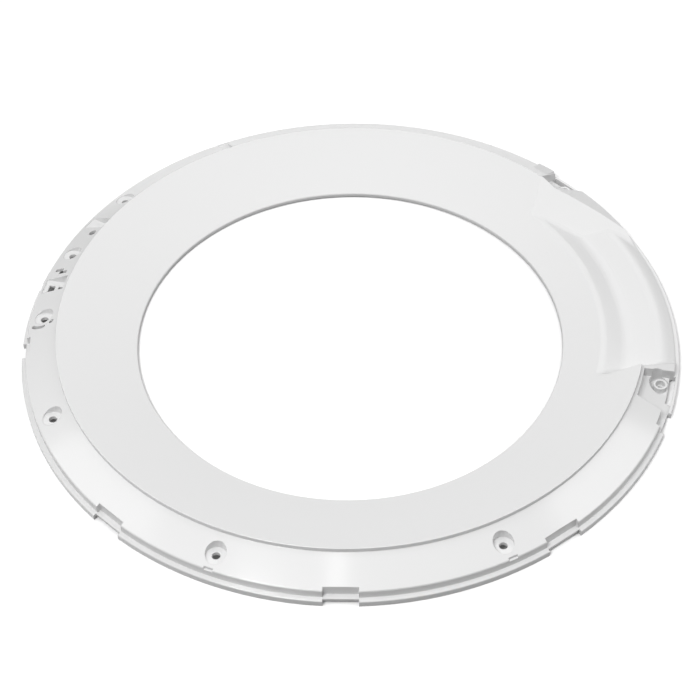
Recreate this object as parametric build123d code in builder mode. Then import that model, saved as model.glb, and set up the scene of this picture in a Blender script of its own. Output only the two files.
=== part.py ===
# Washing machine outer door frame: one injection moulded ring of white ABS.
# Units are mm. +Z is up along the ring axis, and z = 0 is the plane the rim stands on.
# +X points to the side with the finger grip, and the hinge side is at -X.
import os
from math import cos, hypot, radians, sin, sqrt, tan
from build123d import *

# Section of the moulding, from the porthole outwards
hole_r = 153.0           # porthole
face_w = 56.0            # dished face
flange_w = 23.0          # sloping flange that the trim ring covers
ledge_w = 3.5            # ledge that the trim ring stands on
lip_h = 4.6              # ledge above the standing plane
band_h = 6.0             # upright band between ledge and flange
flange_drop = 10.9       # fall of the flange towards the band
step_h = 3.5             # step from the flange up to the face edge
hole_lift = 0.7          # underside of the porthole edge above the standing plane
wall = 3.0               # wall thickness, measured upright
lip_t = 2.2              # thickness of the rim lip and of the ledge
edge_break = 0.5         # broken edges of the face, flange, ledge and porthole

# Counterbored screw points on the flange
screw_in = 11.0          # screw circle, inwards from the band
screw_d = 5.6            # through hole
cbore_d = 14.0           # counterbore for the screw head
cbore_sink = 0.4         # floor of the counterbore below the flange on its outer side
cup_wall = 2.2           # wall of the cup below the counterbore
screw_az = (141.0, 159.2, 176.8, 202.3, 246.5, 295.4)

# Clip notches for the trim ring along the rim
notch_az = (182.8, 226.4, 267.7, 305.4, 336.6)
notch_len = (14.0, 23.5, 23.0, 26.7, 19.0)
notch_in = 3.0           # set back of the band
notch_clear = 0.4        # ledge set back past the lip, which is open here
gap_az = 166.6           # gap in the lip at the hinge
gap_len = 9.0
tick_az = (246.3, 295.8)  # small recesses in the flange edge beside two screw points
tick_len = 6.5
tick_in = 1.6
tick_drop = 1.2

# Finger grip, a dished scoop with a steep near end and a long ramp at the far end
grip_az = 12.5           # middle of the grip
grip_land = 28.0         # face left between porthole and grip
grip_fall_w = 18.0       # width of the inner slope
grip_rise = 3.4          # foot of the inner slope above the ledge
crest_in = 9.5           # crest of the floor, inwards from the band
crest_rise = 6.2         # crest of the floor above the ledge
near_half = 90.5         # near end of the floor from the middle
near_slope = 66.0
far_half = 51.0          # foot of the far ramp from the middle, along the foot of the inner slope
far_slope = 18.5
far_turn = 17.5          # turn of the ramp outwards from the grip's length, in degrees
grip_round = 9.0         # soft inner edge
foot_round = 22.0        # hollow along the foot of the inner slope
crest_round = 18.0       # rounded crest that rolls over to the rim
end_round = 8.0          # hollow along the foot of the ends

# Screw pockets beyond both ends of the grip, where the flange lies lower
pocket_from = 98.5       # start of a pocket from the middle of the grip
pocket_turn = (32.4, 34.9)  # far and near pocket end at this turn from the middle of the grip, in degrees
pocket_sink = 7.5        # pocket floor below the flange
pocket_wall = 2.0        # thin walls of the pockets
rim_slot_w = 4.0         # slot between pocket floor and lip
rim_slot_turn = (32.4, 31.5)  # far and near end of the slots, in degrees
boss_from = 105.5        # boss from the middle of the grip
boss_in = 8.5            # boss circle, inwards from the band
well_d = 16.0            # well round the boss
well_drop = 0.6          # well floor below the ledge
boss_d = 9.8
boss_h = 4.5
boss_bore_d = 6.7
boss_screw_d = 4.0

# Raised stop for the trim ring on the flange edge beyond the far pocket
stop_az = 45.2
stop_turn = 3.6          # length of the stop, in degrees
stop_rise = 4.6          # stop above the flange edge

# Hinge side: latch pockets, slots and a pin hole in the flange
latch_az = (115.6, 149.6, 168.1)
latch_len = (8.0, 12.0, 14.5)
latch_w = 17.0           # pocket width across the flange
latch_sink = 4.5         # pocket floor below the flange at its middle
latch_windows = ((), (-5.0,), (-4.0, 3.0))  # openings in each pocket floor, outwards from its middle
window_len = 7.5
window_w = 4.5
window_shift = 1.5       # openings from the middle of the floor, towards the near side
pin_az = 152.9
pin_in = 15.0            # pin hole, inwards from the band
pin_d = 5.8
key_az = 164.4           # stepped slot
key_w = 3.0
key_len = 6.5            # length of each half of the slot
key_shift = 2.0          # shift of each half from the middle
slit_w = 2.6             # slits beside the third screw point
slit_gap = 2.2           # web between slit and counterbore
slit_turns = ((50.0, 48.0), (129.0, 6.0))  # start and length of each slit, in degrees

# Values that follow
face_r = hole_r + face_w
flange_r = face_r + flange_w
outer_r = flange_r + ledge_w
flange_z = lip_h + band_h
seat_z = flange_z + flange_drop
face_z = seat_z + step_h
hole_z = hole_lift + wall
flange_fall = flange_drop / flange_w
face_rise = (face_z - hole_z) / face_w
peak_in = step_h / (flange_fall + face_rise)
screw_r = flange_r - screw_in
cbore_z = flange_z + flange_fall * (screw_in - cbore_d / 2) - cbore_sink
well_z = lip_h - well_drop
lip_r = outer_r - lip_t
latch_z = flange_z + flange_fall * screw_in - latch_sink
grip_in_r = hole_r + grip_land
grip_in_z = hole_z + face_rise * grip_land
grip_z = lip_h + grip_rise
crest_r = flange_r - crest_in
crest_z = lip_h + crest_rise
crest_fall = crest_rise / (outer_r - crest_r)
past = 2.0               # how far a cut runs past the surface
skim = 0.05              # how far the grip space stays above the face beside it
high = face_z + past


def turned(az, z=0.0):
    """Plane lying flat at height z, with its x axis along the direction az."""
    return Plane(origin=(0, 0, z), x_dir=(cos(radians(az)), sin(radians(az)), 0), z_dir=(0, 0, 1))


def facing(az):
    """Upright plane through the ring axis that faces the direction az."""
    return Plane(origin=(0, 0, 0), x_dir=(-sin(radians(az)), cos(radians(az)), 0),
                 z_dir=(cos(radians(az)), sin(radians(az)), 0))


def flange_top(r):
    """Height of the sloping flange at radius r."""
    return flange_z + flange_fall * (flange_r - r)


# Finger grip space: a revolved dish, cut to length by two sloping ends
foot_r = grip_in_r + grip_fall_w
near_run = 1 / tan(radians(near_slope))
far_run = 1 / tan(radians(far_slope))
far_foot = far_half * cos(radians(far_turn)) + sqrt(foot_r ** 2 - far_half ** 2) * sin(radians(far_turn))
with BuildPart() as scoop:
    with BuildSketch(Plane.XZ) as dish:
        with BuildLine():
            Polyline((hole_r, hole_z + skim), (grip_in_r, grip_in_z + skim), (foot_r, grip_z),
                     (crest_r, crest_z), (outer_r + past, lip_h - crest_fall * past),
                     (outer_r + past, high), (hole_r, high), close=True)
        make_face()
        fillet(dish.vertices().sort_by_distance((grip_in_r, grip_in_z, 0))[0], grip_round)
        fillet(dish.vertices().sort_by_distance((foot_r, grip_z, 0))[0], foot_round)
        fillet(dish.vertices().sort_by_distance((crest_r, crest_z, 0))[0], crest_round)
    revolve(axis=Axis.Z)
    with BuildSketch(facing(grip_az)):
        with BuildLine():
            Polyline((-near_half + grip_z * near_run, 0), (outer_r, 0), (outer_r, high),
                     (-near_half - (high - grip_z) * near_run, high), close=True)
        make_face()
    extrude(amount=outer_r + 2 * past, mode=Mode.INTERSECT)
    with BuildSketch(facing(grip_az - far_turn)):
        with BuildLine():
            Polyline((-outer_r, 0), (far_foot - grip_z * far_run, 0),
                     (far_foot + (high - grip_z) * far_run, high), (-outer_r, high), close=True)
        make_face()
    extrude(amount=outer_r + 2 * past, mode=Mode.INTERSECT)
    feet = scoop.edges().filter_by(lambda e: e.center().Z < grip_in_z
                                   and grip_in_r < hypot(e.center().X, e.center().Y) < outer_r
                                   and e.geom_type != GeomType.CIRCLE)
    fillet(feet, end_round)

# Screw pockets: ring shaped spaces from r0 to r1, and down to drop below the flange
pocket_r0 = face_r + pocket_wall
boss_x = sqrt((flange_r - boss_in) ** 2 - boss_from ** 2)
reach = outer_r + high


def pocket_space(r0, r1, drop, turns, grow=0.0):
    """Space over both pockets up to these turns, wider by grow at the ends."""
    with BuildPart() as space:
        with BuildSketch(Plane.XZ):
            with BuildLine():
                Polyline((r0, flange_top(r0) - drop), (r1, flange_top(r1) - drop), (r1, high), (r0, high),
                         close=True)
            make_face()
        revolve(axis=Axis.Z)
        with BuildSketch(turned(grip_az, -high)):
            for side, turn in zip((1, -1), turns):
                along, across = sin(radians(turn)), cos(radians(turn))
                with BuildLine():
                    Polyline((pocket_from * across / along, side * pocket_from),
                             (reach, side * pocket_from), (reach * across, side * reach * along), close=True)
                make_face()
            if grow > 0:
                offset(amount=grow, kind=Kind.INTERSECTION)
        extrude(amount=3 * high, mode=Mode.INTERSECT)
    return space.part


# Space under the skin, less the cups, pads and trays that stand in it
with BuildPart() as under:
    with BuildSketch(Plane.XZ):
        with BuildLine():
            Polyline((hole_r - past, -past), (hole_r - past, hole_lift - face_rise * past),
                     (face_r - peak_in, face_z - wall - face_rise * peak_in),
                     (flange_r - wall, flange_top(flange_r - wall) - wall), (flange_r - wall, lip_h - lip_t),
                     (lip_r, lip_h - lip_t), (lip_r, -past), close=True)
        make_face()
    revolve(axis=Axis.Z)
    add(scoop.part.moved(Location((0, 0, -wall))), mode=Mode.SUBTRACT)
    # cups below the counterbores
    for az in screw_az:
        with BuildSketch(turned(az, cbore_z - wall)):
            with Locations((screw_r, 0)):
                Circle(cbore_d / 2 + cup_wall)
        extrude(amount=high, mode=Mode.SUBTRACT)
    # pads behind the notches
    for az, length in zip(notch_az, notch_len):
        with BuildSketch(turned(az, lip_h - lip_t)):
            with Locations((flange_r - notch_in - wall, 0)):
                Rectangle(notch_in + wall, length + 2 * wall, align=(Align.MIN, Align.CENTER))
        extrude(amount=high, mode=Mode.SUBTRACT)
    # trays of the screw pockets and cups of their wells
    trays = pocket_space(face_r, outer_r, pocket_sink + pocket_wall, pocket_turn, pocket_wall)
    add(trays, mode=Mode.SUBTRACT)
    with BuildSketch(turned(grip_az, well_z - pocket_wall)):
        with Locations((boss_x, boss_from), (boss_x, -boss_from)):
            Circle(well_d / 2 + pocket_wall)
    extrude(amount=high, mode=Mode.SUBTRACT)
    # trays of the latch pockets
    for az, length in zip(latch_az, latch_len):
        with BuildSketch(turned(az, latch_z - pocket_wall)):
            with Locations((screw_r, 0)):
                Rectangle(latch_w + 2 * pocket_wall, length + 2 * pocket_wall)
        extrude(amount=high, mode=Mode.SUBTRACT)

with BuildPart() as outer_door_frame:
    # body below the visible face
    with BuildSketch(Plane.XZ) as section:
        with BuildLine():
            Polyline((hole_r, 0), (hole_r, hole_z), (face_r, face_z), (face_r, seat_z),
                     (flange_r, flange_z), (flange_r, lip_h), (outer_r, lip_h), (outer_r, 0), close=True)
        make_face()
        for corner in ((hole_r, hole_z), (face_r, face_z), (flange_r, flange_z), (outer_r, lip_h)):
            chamfer(section.vertices().sort_by_distance((*corner, 0))[0], edge_break)
    revolve(axis=Axis.Z)
    add(under.part, mode=Mode.SUBTRACT)
    add(scoop.part, mode=Mode.SUBTRACT)
    # counterbored screw points
    for az in screw_az:
        with BuildSketch(turned(az, cbore_z)):
            with Locations((screw_r, 0)):
                Circle(cbore_d / 2)
        extrude(amount=high, mode=Mode.SUBTRACT)
        with BuildSketch(turned(az)):
            with Locations((screw_r, 0)):
                Circle(screw_d / 2)
        extrude(amount=high, mode=Mode.SUBTRACT)
    # clip notches: the band steps back, and the lip below the ledge is open
    for az, length in zip(notch_az, notch_len):
        with BuildSketch(turned(az, lip_h)):
            with Locations((flange_r - notch_in, 0)):
                Rectangle(outer_r, length, align=(Align.MIN, Align.CENTER))
        extrude(amount=high, mode=Mode.SUBTRACT)
    for az, length in zip((*notch_az, gap_az), (*notch_len, gap_len)):
        with BuildSketch(turned(az)):
            with Locations((lip_r - notch_clear, 0)):
                Rectangle(outer_r, length, align=(Align.MIN, Align.CENTER))
        extrude(amount=lip_h, mode=Mode.SUBTRACT)
    for az in tick_az:
        with BuildSketch(turned(az, flange_z - tick_drop)):
            with Locations((flange_r - tick_in, 0)):
                Rectangle(2 * tick_in, tick_len, align=(Align.MIN, Align.CENTER))
        extrude(amount=high, mode=Mode.SUBTRACT)
    # screw pockets at the ends of the grip, each with a slot along the lip and a boss in a well
    add(pocket_space(pocket_r0, lip_r, pocket_sink, pocket_turn), mode=Mode.SUBTRACT)
    add(pocket_space(lip_r - rim_slot_w, lip_r, high, rim_slot_turn), mode=Mode.SUBTRACT)
    with BuildSketch(turned(grip_az, well_z)):
        with Locations((boss_x, boss_from), (boss_x, -boss_from)):
            Circle(well_d / 2)
    extrude(amount=high, mode=Mode.SUBTRACT)
    with BuildSketch(turned(grip_az, well_z)):
        with Locations((boss_x, boss_from), (boss_x, -boss_from)):
            Circle(boss_d / 2)
    extrude(amount=boss_h)
    with BuildSketch(turned(grip_az, well_z)):
        with Locations((boss_x, boss_from), (boss_x, -boss_from)):
            Circle(boss_bore_d / 2)
    extrude(amount=high, mode=Mode.SUBTRACT)
    with BuildSketch(turned(grip_az)):
        with Locations((boss_x, boss_from), (boss_x, -boss_from)):
            Circle(boss_screw_d / 2)
    extrude(amount=high, mode=Mode.SUBTRACT)
    # raised stop with a level top
    stop_r = flange_r - stop_rise / flange_fall
    with BuildSketch(facing(stop_az - 90)):
        with BuildLine():
            Polyline((stop_r, flange_z + stop_rise - past), (stop_r, flange_z + stop_rise),
                     (flange_r, flange_z + stop_rise), (flange_r, flange_z - past), close=True)
        make_face()
    revolve(axis=Axis.Z, revolution_arc=stop_turn)
    # latch pockets of the hinge side, with openings in their floors
    for az, length, windows in zip(latch_az, latch_len, latch_windows):
        with BuildSketch(turned(az, latch_z)):
            with Locations((screw_r, 0)):
                Rectangle(latch_w, length)
        extrude(amount=high, mode=Mode.SUBTRACT)
        for out in windows:
            with BuildSketch(turned(az)):
                with Locations((screw_r + out, window_shift)):
                    Rectangle(window_w, window_len)
            extrude(amount=high, mode=Mode.SUBTRACT)
    # pin hole, stepped slot and slits
    with BuildSketch(turned(pin_az)):
        with Locations((flange_r - pin_in, 0)):
            Circle(pin_d / 2)
    extrude(amount=high, mode=Mode.SUBTRACT)
    with BuildSketch(turned(key_az)):
        with Locations((screw_r - key_shift, key_w / 2), (screw_r + key_shift, -key_w / 2)):
            Rectangle(key_len, key_w)
    extrude(amount=high, mode=Mode.SUBTRACT)
    for start, turn in slit_turns:
        with BuildSketch(turned(screw_az[2])):
            with BuildLine() as slit:
                CenterArc((screw_r, 0), cbore_d / 2 + slit_gap + slit_w / 2, start, turn)
            SlotArc(slit.edge(), slit_w)
        extrude(amount=high, mode=Mode.SUBTRACT)

outer_door_frame.part.label = "outer_door_frame"
os.makedirs("parts", exist_ok=True)
export_step(outer_door_frame.part, "parts/outer_door_frame.step")
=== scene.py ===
"""Looks of a washing machine's outer door frame: the white moulding and its studio."""
from math import atan, atan2, cos, radians, sin

import bmesh
import bpy
from mathutils import Matrix, Vector


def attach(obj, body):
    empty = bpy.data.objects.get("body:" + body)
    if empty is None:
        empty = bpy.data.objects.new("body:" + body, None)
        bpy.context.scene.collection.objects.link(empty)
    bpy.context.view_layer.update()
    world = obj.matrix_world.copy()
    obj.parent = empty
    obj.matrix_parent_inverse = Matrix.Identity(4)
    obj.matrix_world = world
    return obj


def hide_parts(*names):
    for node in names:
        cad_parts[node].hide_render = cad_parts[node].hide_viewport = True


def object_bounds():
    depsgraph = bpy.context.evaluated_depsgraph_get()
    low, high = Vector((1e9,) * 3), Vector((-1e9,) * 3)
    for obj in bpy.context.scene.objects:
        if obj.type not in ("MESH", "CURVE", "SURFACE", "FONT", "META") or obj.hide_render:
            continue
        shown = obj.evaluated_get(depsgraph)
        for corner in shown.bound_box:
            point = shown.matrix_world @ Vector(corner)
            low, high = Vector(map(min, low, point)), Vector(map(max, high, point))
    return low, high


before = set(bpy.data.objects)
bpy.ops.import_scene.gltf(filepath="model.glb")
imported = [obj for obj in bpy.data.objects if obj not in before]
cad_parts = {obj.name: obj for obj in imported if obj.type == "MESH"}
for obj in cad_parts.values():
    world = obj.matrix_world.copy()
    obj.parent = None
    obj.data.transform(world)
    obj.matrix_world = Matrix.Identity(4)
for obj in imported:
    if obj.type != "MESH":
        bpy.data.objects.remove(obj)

bl_info = {
    "name": "Washer door frame",
    "version": (1, 0, 0),
    "blender": (4, 5, 0),
    "location": "View3D > Sidebar > Door frame",
    "description": "Finishes the moulded door frame of a washing machine and sets up its studio",
    "category": "Object",
}

CAD_LOW, CAD_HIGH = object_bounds()
MM = 0.001
NODE = "outer_door_frame"
PIECE = "moulded_ring"

# The sloping flange, from the rim's ledge up to the step where the satin face begins
LEDGE_WIDTH = 3.5 * MM
FLANGE_WIDTH = 23.0 * MM
FLANGE_LOW = 10.6 * MM
FLANGE_RISE = 10.9 * MM
FLANGE_RADIUS = CAD_HIGH.y - LEDGE_WIDTH
FACE_RADIUS = FLANGE_RADIUS - FLANGE_WIDTH

# The finger grip: the direction of its middle, how far from that its two screw pockets begin,
# the radius of its soft inner edge, and its own axes
GRIP_TURN = radians(12.5)
GRIP_HALF = 98.5 * MM
GRIP_RADIUS = 183.0 * MM
GRIP_ALONG = (-sin(GRIP_TURN), cos(GRIP_TURN), 0.0)
GRIP_ACROSS = (cos(GRIP_TURN), sin(GRIP_TURN), 0.0)

# The raised stop beyond the far pocket: its middle, half its length with some room,
# and how far its edge at least stands above the flange and outside the face
STOP_TURN = radians(47.0)
STOP_HALF = radians(2.2)
STOP_MARGIN = 1.0 * MM

# Fineness of the satin grain and of the shading on the edges, and the paper's matt surface
GRAIN_DETAIL = 2.0
EDGE_SAMPLES = 8
PAPER_ROUGHNESS = 0.9
SKY_WHITE = "FFFFFF"

# The softboxes in metres: side lengths, place, and the point that each one shines at
RING_MIDDLE = (0.0, 0.0, 0.0)
STRIP_FOOT = (-0.1, -0.65, 0.0)
SOFTBOXES = {
    "key": ((0.7, 0.7), (-0.7, -1.15, 1.95), RING_MIDDLE),
    "top": ((3.0, 3.0), (0.0, 0.0, 2.0), RING_MIDDLE),
    "left": ((1.5, 1.5), (-2.0, 0.0, 1.5), RING_MIDDLE),
    "right": ((1.5, 1.5), (2.0, 0.0, 1.5), RING_MIDDLE),
    "back": ((1.6, 0.5), (0.7, 2.2, 1.7), RING_MIDDLE),
    "strip": ((0.1, 0.8), (-0.1, -0.65, 1.6), STRIP_FOOT),
}

# The image is 700 pixels square
IMAGE_PIXELS = 700
SENSOR_WIDTH = 36.0


def linear(code):
    """Linear colour with alpha of an sRGB hex code such as DBDBDB."""
    channels = [int(code[i:i + 2], 16) / 255 for i in (0, 2, 4)]
    return [c / 12.92 if c <= 0.04045 else ((c + 0.055) / 1.055) ** 2.4 for c in channels] + [1.0]


def add_node(material, kind, settings=None, **links):
    """Adds a node of that kind, with values for its attributes and sockets, and links into its sockets."""
    node = material.node_tree.nodes.new(kind)
    for key, value in (settings or {}).items():
        if isinstance(key, str) and hasattr(node, key):
            setattr(node, key, value)
        else:
            node.inputs[key].default_value = value
    for name, source in links.items():
        number = name[1:]
        socket = node.inputs[int(number)] if number.isdigit() else node.inputs[name.replace("_", " ")]
        material.node_tree.links.new(source, socket)
    return node


def new_material(name):
    """An empty node material and its Principled shader."""
    material = bpy.data.materials.new(name)
    material.use_nodes = True
    return material, material.node_tree.nodes["Principled BSDF"]


def moulded_abs(look):
    """White ABS, injection moulded: a spark eroded mould gives a satin face, polished steel the flange."""
    material, shader = new_material("moulded_white_abs")
    link = material.node_tree.links.new
    shader.inputs["Base Color"].default_value = linear(look.white)
    shader.inputs["IOR"].default_value = look.ior
    place = add_node(material, "ShaderNodeTexCoord").outputs["Object"]
    # satin inside the step and all over the finger grip, polished on the flange and the rim
    flat = add_node(material, "ShaderNodeVectorMath",
                    {"operation": "MULTIPLY", 1: (1.0, 1.0, 0.0)}, _0=place)
    radius = add_node(material, "ShaderNodeVectorMath",
                      {"operation": "LENGTH"}, _0=flat.outputs["Vector"])
    face = add_node(material, "ShaderNodeMapRange",
                    {"From Min": FACE_RADIUS - look.step_blend, "From Max": FACE_RADIUS,
                     "To Min": 1.0, "To Max": 0.0}, Value=radius.outputs["Value"])
    along = add_node(material, "ShaderNodeVectorMath",
                     {"operation": "DOT_PRODUCT", 1: GRIP_ALONG}, _0=place)
    aside = add_node(material, "ShaderNodeMath", {"operation": "ABSOLUTE"}, _0=along.outputs["Value"])
    across = add_node(material, "ShaderNodeVectorMath",
                      {"operation": "DOT_PRODUCT", 1: GRIP_ACROSS}, _0=place)
    facing = add_node(material, "ShaderNodeMath",
                      {"operation": "GREATER_THAN", 1: 0.0}, _0=across.outputs["Value"])
    within = add_node(material, "ShaderNodeMapRange",
                      {"From Min": GRIP_HALF - look.step_blend, "From Max": GRIP_HALF,
                       "To Min": 1.0, "To Max": 0.0}, Value=aside.outputs["Value"])
    grip = add_node(material, "ShaderNodeMath", {"operation": "MULTIPLY"},
                    _0=facing.outputs["Value"], _1=within.outputs["Result"])
    satin = add_node(material, "ShaderNodeMath", {"operation": "MAXIMUM"},
                     _0=face.outputs["Result"], _1=grip.outputs["Value"]).outputs["Value"]
    rough = add_node(material, "ShaderNodeMapRange",
                     {"To Min": look.flange_roughness, "To Max": look.face_roughness}, Value=satin)
    # fingers and the deeper draw leave the grip smoother than the face
    beyond = add_node(material, "ShaderNodeMapRange",
                      {"From Min": GRIP_RADIUS - look.grip_blend,
                       "From Max": GRIP_RADIUS + look.grip_blend}, Value=radius.outputs["Value"])
    middle = add_node(material, "ShaderNodeMapRange",
                      {"From Min": GRIP_HALF - look.grip_blend, "From Max": GRIP_HALF,
                       "To Min": 1.0, "To Max": 0.0}, Value=aside.outputs["Value"])
    smooth = add_node(material, "ShaderNodeMath", {"operation": "MULTIPLY"},
                      _0=beyond.outputs["Result"], _1=middle.outputs["Result"])
    dished = add_node(material, "ShaderNodeMath", {"operation": "MULTIPLY"},
                      _0=smooth.outputs["Value"], _1=facing.outputs["Value"])
    finish = add_node(material, "ShaderNodeMapRange", {"To Max": look.grip_roughness},
                      Value=dished.outputs["Value"], To_Min=rough.outputs["Result"])
    link(finish.outputs["Result"], shader.inputs["Roughness"])
    # the grain is drawn coarser than the real one so that it shows
    grain = add_node(material, "ShaderNodeTexNoise",
                     {"Scale": 1 / look.grain, "Detail": GRAIN_DETAIL}, Vector=place)
    depth = add_node(material, "ShaderNodeMapRange",
                     {"To Min": 0.0, "To Max": look.grain_strength}, Value=satin)
    bump = add_node(material, "ShaderNodeBump", {"Distance": look.grain_depth},
                    Height=grain.outputs["Fac"], Strength=depth.outputs["Result"])
    # the edges of the mould leave a small radius that catches the light
    edge = add_node(material, "ShaderNodeBevel", {"samples": EDGE_SAMPLES, "Radius": look.edge_radius})
    link(edge.outputs["Normal"], bump.inputs["Normal"])
    link(bump.outputs["Normal"], shader.inputs["Normal"])
    return material


def floor_paper(stage):
    """Studio paper, uncoated: white and matt, with no shine at all."""
    material, shader = new_material("matt_white_paper")
    shader.inputs["Base Color"].default_value = linear(stage.paper)
    shader.inputs["Roughness"].default_value = PAPER_ROUGHNESS
    shader.inputs["Specular IOR Level"].default_value = 0.0
    return material


def on_stop(point):
    """True for a point on the raised edge of the stop."""
    radius = point.xy.length
    flange = CAD_LOW.z + FLANGE_LOW + FLANGE_RISE * (FLANGE_RADIUS - radius) / FLANGE_WIDTH
    beside = abs(atan2(point.y, point.x) - STOP_TURN) < STOP_HALF
    return beside and point.z - flange > STOP_MARGIN and radius > FACE_RADIUS + STOP_MARGIN


class DoorFrameLook(bpy.types.PropertyGroup):
    """Finish of the moulding."""
    white: bpy.props.StringProperty(
        name="White", description="sRGB hex code of the plastic", default="DBDBDB")
    ior: bpy.props.FloatProperty(
        name="IOR", description="Refractive index of ABS", default=1.53)
    face_roughness: bpy.props.FloatProperty(
        name="Face roughness", description="Satin of the face",
        default=0.5, subtype="FACTOR", min=0, max=1)
    flange_roughness: bpy.props.FloatProperty(
        name="Flange roughness", description="Polish of the flange and rim",
        default=0.14, subtype="FACTOR", min=0, max=1)
    grip_roughness: bpy.props.FloatProperty(
        name="Grip roughness", description="Smoother finish of the grip",
        default=0.3, subtype="FACTOR", min=0, max=1)
    grip_blend: bpy.props.FloatProperty(
        name="Grip blend", description="Width over which the grip's finish starts",
        default=5.0 * MM, unit="LENGTH")
    step_blend: bpy.props.FloatProperty(
        name="Step blend", description="Width over which the finish changes",
        default=0.6 * MM, unit="LENGTH")
    grain: bpy.props.FloatProperty(
        name="Grain", description="Spacing of the satin grain", default=0.8 * MM, unit="LENGTH")
    grain_depth: bpy.props.FloatProperty(
        name="Grain depth", description="Height of the satin grain", default=0.02 * MM, unit="LENGTH")
    grain_strength: bpy.props.FloatProperty(
        name="Grain strength", description="How much of the grain shows",
        default=0.3, subtype="FACTOR", min=0, max=1)
    edge_radius: bpy.props.FloatProperty(
        name="Edge radius", description="Small radius on every edge", default=0.6 * MM, unit="LENGTH")
    stop_trim: bpy.props.FloatProperty(
        name="Stop trim", description="How far the stop's outer edge is lowered",
        default=3.0 * MM, unit="LENGTH")


class DoorFrameStage(bpy.types.PropertyGroup):
    """Camera, floor and lights."""
    paper: bpy.props.StringProperty(
        name="Paper", description="sRGB hex code of the floor", default="FDFDFD")
    floor_size: bpy.props.FloatProperty(
        name="Floor", description="Side of the floor", default=8.0, unit="LENGTH")
    distance: bpy.props.FloatProperty(
        name="Distance", description="Camera to the middle of the face edge", default=1.2, unit="LENGTH")
    elevation: bpy.props.FloatProperty(
        name="Elevation", description="Camera above the horizon", default=radians(45.11), subtype="ANGLE")
    roll: bpy.props.FloatProperty(
        name="Roll", description="Camera turned about its view", default=radians(-1.253), subtype="ANGLE")
    focal_pixels: bpy.props.FloatProperty(
        name="Focal length", description="Focal length in image pixels", default=1681.4)
    middle_pixel: bpy.props.FloatVectorProperty(
        name="Middle", description="Image pixel of the middle of the face edge",
        size=2, default=(350.24, 312.88))
    sky: bpy.props.FloatProperty(
        name="Sky", description="Strength of the light all round", default=0.12)
    key_power: bpy.props.FloatProperty(
        name="Key", description="High softbox in front on the left", default=28.0, unit="POWER")
    top_power: bpy.props.FloatProperty(
        name="Top", description="Large softbox above the ring", default=22.0, unit="POWER")
    left_power: bpy.props.FloatProperty(
        name="Left", description="Softbox on the left", default=14.0, unit="POWER")
    right_power: bpy.props.FloatProperty(
        name="Right", description="Softbox on the right", default=19.0, unit="POWER")
    back_power: bpy.props.FloatProperty(
        name="Back", description="Long softbox behind the ring that shows in the grip",
        default=6.0, unit="POWER")
    strip_power: bpy.props.FloatProperty(
        name="Strip", description="Narrow light that shows on the near flange", default=0.9, unit="POWER")


class DOORFRAME_OT_moulding(bpy.types.Operator):
    """Makes the moulded ring from the CAD shape, with a lower stop, and gives it its finish"""
    bl_idname = "door_frame.moulding"
    bl_label = "Moulded ring"

    def execute(self, context):
        look = context.scene.door_frame_look
        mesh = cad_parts[NODE].data.copy()
        mesh.materials.clear()
        mesh.materials.append(moulded_abs(look))
        # the stop's outer edge is lowered to a shallow rise
        for vertex in mesh.vertices:
            if on_stop(vertex.co):
                vertex.co.z -= look.stop_trim
        ring = bpy.data.objects.new(PIECE, mesh)
        context.scene.collection.objects.link(ring)
        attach(ring, "root")
        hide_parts(NODE)
        return {"FINISHED"}


def area_light(name, power, size, place, target):
    """A rectangular light at place that shines at target."""
    light = bpy.data.lights.new(name, "AREA")
    light.shape = "RECTANGLE"
    light.energy = power
    light.size, light.size_y = size
    lamp = bpy.data.objects.new(name, light)
    lamp.location = place
    lamp.rotation_euler = (Vector(target) - Vector(place)).to_track_quat("-Z", "Y").to_euler()
    bpy.context.scene.collection.objects.link(lamp)


def studio_floor(stage):
    """A square of paper under the ring."""
    mesh = bpy.data.meshes.new("studio_floor")
    shape = bmesh.new()
    bmesh.ops.create_grid(shape, x_segments=1, y_segments=1, size=stage.floor_size / 2)
    shape.to_mesh(mesh)
    shape.free()
    mesh.materials.append(floor_paper(stage))
    floor = bpy.data.objects.new("studio_floor", mesh)
    floor.location.z = CAD_LOW.z
    # the floor throws no light back, so that the walls of the rim and the porthole stay dark
    floor.visible_diffuse = False
    bpy.context.scene.collection.objects.link(floor)


def studio_sky(stage):
    """Even white light from all round."""
    world = bpy.data.worlds.new("studio_sky")
    world.use_nodes = True
    background = world.node_tree.nodes["Background"]
    background.inputs["Color"].default_value = linear(SKY_WHITE)
    background.inputs["Strength"].default_value = stage.sky
    bpy.context.scene.world = world


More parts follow.
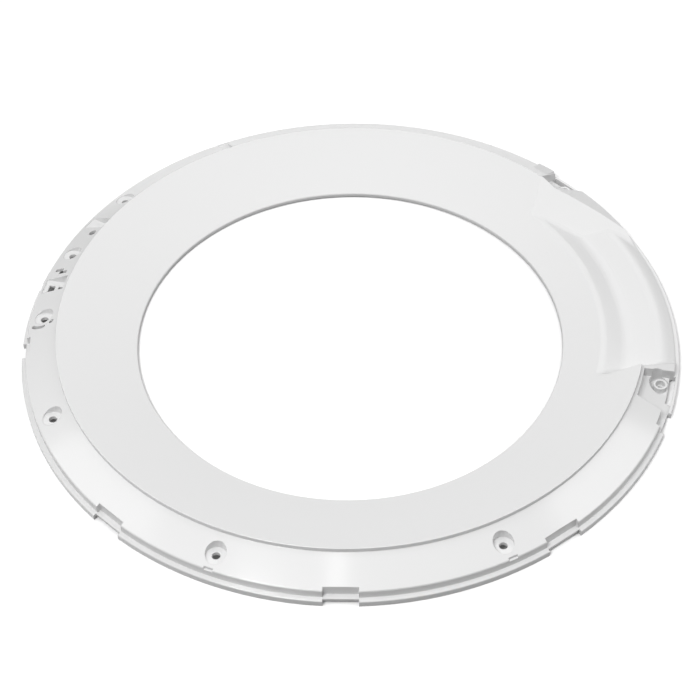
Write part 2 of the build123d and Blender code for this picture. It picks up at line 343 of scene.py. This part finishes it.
def photo_camera(stage):
    """The camera at the photograph's viewing angle."""
    data = bpy.data.cameras.new("photo_camera")
    data.sensor_width = SENSOR_WIDTH
    data.lens = stage.focal_pixels * SENSOR_WIDTH / IMAGE_PIXELS
    camera = bpy.data.objects.new("photo_camera", data)
    bpy.context.scene.collection.objects.link(camera)
    across, down = [atan((p - IMAGE_PIXELS / 2) / stage.focal_pixels) for p in stage.middle_pixel]
    back = stage.distance * cos(stage.elevation)
    above = stage.distance * sin(stage.elevation)
    turn = (Matrix.Rotation(radians(90) - stage.elevation, 4, "X") @ Matrix.Rotation(across, 4, "Y")
            @ Matrix.Rotation(down, 4, "X") @ Matrix.Rotation(stage.roll, 4, "Z"))
    camera.matrix_world = Matrix.Translation((0, -back, CAD_HIGH.z + above)) @ turn
    bpy.context.scene.camera = camera


class DOORFRAME_OT_stage(bpy.types.Operator):
    """Sets up the floor, the soft lights and the camera"""
    bl_idname = "door_frame.stage"
    bl_label = "Studio"

    def execute(self, context):
        stage = context.scene.door_frame_stage
        studio_floor(stage)
        studio_sky(stage)
        context.scene.view_settings.view_transform = "Standard"
        for name, (size, place, target) in SOFTBOXES.items():
            area_light(f"{name}_softbox", getattr(stage, f"{name}_power"), size, place, target)
        photo_camera(stage)
        return {"FINISHED"}


class DOORFRAME_PT_sidebar(bpy.types.Panel):
    """Lists the operators and their settings"""
    bl_idname = "DOORFRAME_PT_sidebar"
    bl_label = "Washer door frame"
    bl_space_type = "VIEW_3D"
    bl_region_type = "UI"
    bl_category = "Door frame"

    def draw(self, context):
        for group, operator in (("door_frame_look", DOORFRAME_OT_moulding),
                                ("door_frame_stage", DOORFRAME_OT_stage)):
            box = self.layout.box()
            settings = getattr(context.scene, group)
            for name in settings.__annotations__:
                box.prop(settings, name)
            box.operator(operator.bl_idname)


CLASSES = (DoorFrameLook, DoorFrameStage, DOORFRAME_OT_moulding, DOORFRAME_OT_stage, DOORFRAME_PT_sidebar)


def register():
    """Adds the classes and the scene's settings."""
    for cls in CLASSES:
        bpy.utils.register_class(cls)
    bpy.types.Scene.door_frame_look = bpy.props.PointerProperty(type=DoorFrameLook)
    bpy.types.Scene.door_frame_stage = bpy.props.PointerProperty(type=DoorFrameStage)


def unregister():
    """Takes the scene's settings and the classes away."""
    del bpy.types.Scene.door_frame_stage
    del bpy.types.Scene.door_frame_look
    for cls in reversed(CLASSES):
        bpy.utils.unregister_class(cls)


def main():
    """Makes the ring and its studio."""
    register()
    bpy.ops.door_frame.moulding()
    bpy.ops.door_frame.stage()


if __name__ == "__main__":
    main()
